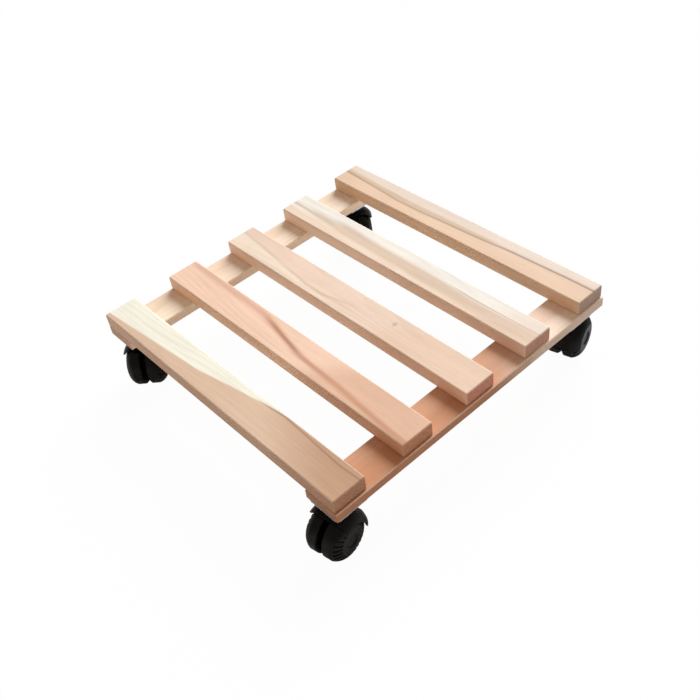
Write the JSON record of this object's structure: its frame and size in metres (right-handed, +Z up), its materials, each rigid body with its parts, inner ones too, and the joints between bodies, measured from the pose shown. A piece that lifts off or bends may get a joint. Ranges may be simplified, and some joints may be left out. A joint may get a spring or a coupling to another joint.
{
  "type": "plant caddy",
  "caption": "Square wooden plant caddy: slats nailed across two rails, carried by swivelling black twin-wheel castors under its corners.",
  "frame": {"origin": "on the floor, under the middle of all that the caddy takes up; the middle of the square deck lies 6 mm further along +Y", "axes": "+X along the slats towards the right rail, +Y along the rails from slat_1 to slat_5, +Z up"},
  "size_m": [0.3058, 0.3206, 0.071],
  "materials": {
    "slat_1_wood": "planed and lightly sanded, unvarnished",
    "slat_2_wood": "planed and lightly sanded, unvarnished",
    "slat_3_wood": "planed and lightly sanded, unvarnished",
    "slat_4_wood": "planed and lightly sanded, unvarnished",
    "slat_5_wood": "planed and lightly sanded, unvarnished",
    "rail_wood": "planed and lightly sanded, unvarnished",
    "nail_steel": "bright wire nails",
    "zinc_plate": "zinc-plated pressing",
    "screw_steel": "zinc-plated",
    "pin_steel": "turned, bright",
    "housing_plastic": "black moulded nylon, satin",
    "wheel_plastic": "black moulded nylon, satin"
  },
  "bodies": {
    "deck": {"slat_1": "slat_1_wood", "slat_2": "slat_2_wood", "slat_3": "slat_3_wood", "slat_4": "slat_4_wood", "slat_5": "slat_5_wood", "left_rail": "rail_wood", "right_rail": "rail_wood", "slat_nails": "nail_steel", "front_plate": "zinc_plate", "front_screws": "screw_steel", "front_kingpin": "pin_steel", "left_plate": "zinc_plate", "left_screws": "screw_steel", "left_kingpin": "pin_steel", "right_plate": "zinc_plate", "right_screws": "screw_steel", "right_kingpin": "pin_steel", "back_plate": "zinc_plate", "back_screws": "screw_steel", "back_kingpin": "pin_steel"},
    "front_castor": {"front_housing": "housing_plastic", "front_axle": "pin_steel"},
    "front_roller_1": {"front_wheel_1": "wheel_plastic"},
    "front_roller_2": {"front_wheel_2": "wheel_plastic"},
    "left_castor": {"left_housing": "housing_plastic", "left_axle": "pin_steel"},
    "left_roller_1": {"left_wheel_1": "wheel_plastic"},
    "left_roller_2": {"left_wheel_2": "wheel_plastic"},
    "right_castor": {"right_housing": "housing_plastic", "right_axle": "pin_steel"},
    "right_roller_1": {"right_wheel_1": "wheel_plastic"},
    "right_roller_2": {"right_wheel_2": "wheel_plastic"},
    "back_castor": {"back_housing": "housing_plastic", "back_axle": "pin_steel"},
    "back_roller_1": {"back_wheel_1": "wheel_plastic"},
    "back_roller_2": {"back_wheel_2": "wheel_plastic"}
  },
  "joints": [
    {"name": "front_swivel", "type": "hinge", "parent": "deck", "child": "front_castor", "pos_m": [0.134, -0.129, 0.0432], "axis": [0, 0, 1], "continuous": true},
    {"name": "front_wheel_1_spin", "type": "hinge", "parent": "front_castor", "child": "front_roller_1", "pos_m": [0.13574, -0.13885, 0.02], "axis": [0.9848, 0.1736, 0], "continuous": true},
    {"name": "front_wheel_2_spin", "type": "hinge", "parent": "front_castor", "child": "front_roller_2", "pos_m": [0.13574, -0.13885, 0.02], "axis": [0.9848, 0.1736, 0], "continuous": true},
    {"name": "left_swivel", "type": "hinge", "parent": "deck", "child": "left_castor", "pos_m": [-0.134, -0.125, 0.0432], "axis": [0, 0, 1], "continuous": true},
    {"name": "left_wheel_1_spin", "type": "hinge", "parent": "left_castor", "child": "left_roller_1", "pos_m": [-0.12657, -0.13169, 0.02], "axis": [0.6691, 0.7431, 0], "continuous": true},
    {"name": "left_wheel_2_spin", "type": "hinge", "parent": "left_castor", "child": "left_roller_2", "pos_m": [-0.12657, -0.13169, 0.02], "axis": [0.6691, 0.7431, 0], "continuous": true},
    {"name": "right_swivel", "type": "hinge", "parent": "deck", "child": "right_castor", "pos_m": [0.134, 0.129, 0.0432], "axis": [0, 0, 1], "continuous": true},
    {"name": "right_wheel_1_spin", "type": "hinge", "parent": "right_castor", "child": "right_roller_1", "pos_m": [0.13158, 0.1387, 0.02], "axis": [-0.9703, -0.2419, 0], "continuous": true},
    {"name": "right_wheel_2_spin", "type": "hinge", "parent": "right_castor", "child": "right_roller_2", "pos_m": [0.13158, 0.1387, 0.02], "axis": [-0.9703, -0.2419, 0], "continuous": true},
    {"name": "back_swivel", "type": "hinge", "parent": "deck", "child": "back_castor", "pos_m": [-0.134, 0.131, 0.0432], "axis": [0, 0, 1], "continuous": true},
    {"name": "back_wheel_1_spin", "type": "hinge", "parent": "back_castor", "child": "back_roller_1", "pos_m": [-0.12591, 0.12512, 0.02], "axis": [0.5878, 0.809, 0], "continuous": true},
    {"name": "back_wheel_2_spin", "type": "hinge", "parent": "back_castor", "child": "back_roller_2", "pos_m": [-0.12591, 0.12512, 0.02], "axis": [0.5878, 0.809, 0], "continuous": true}
  ]
}
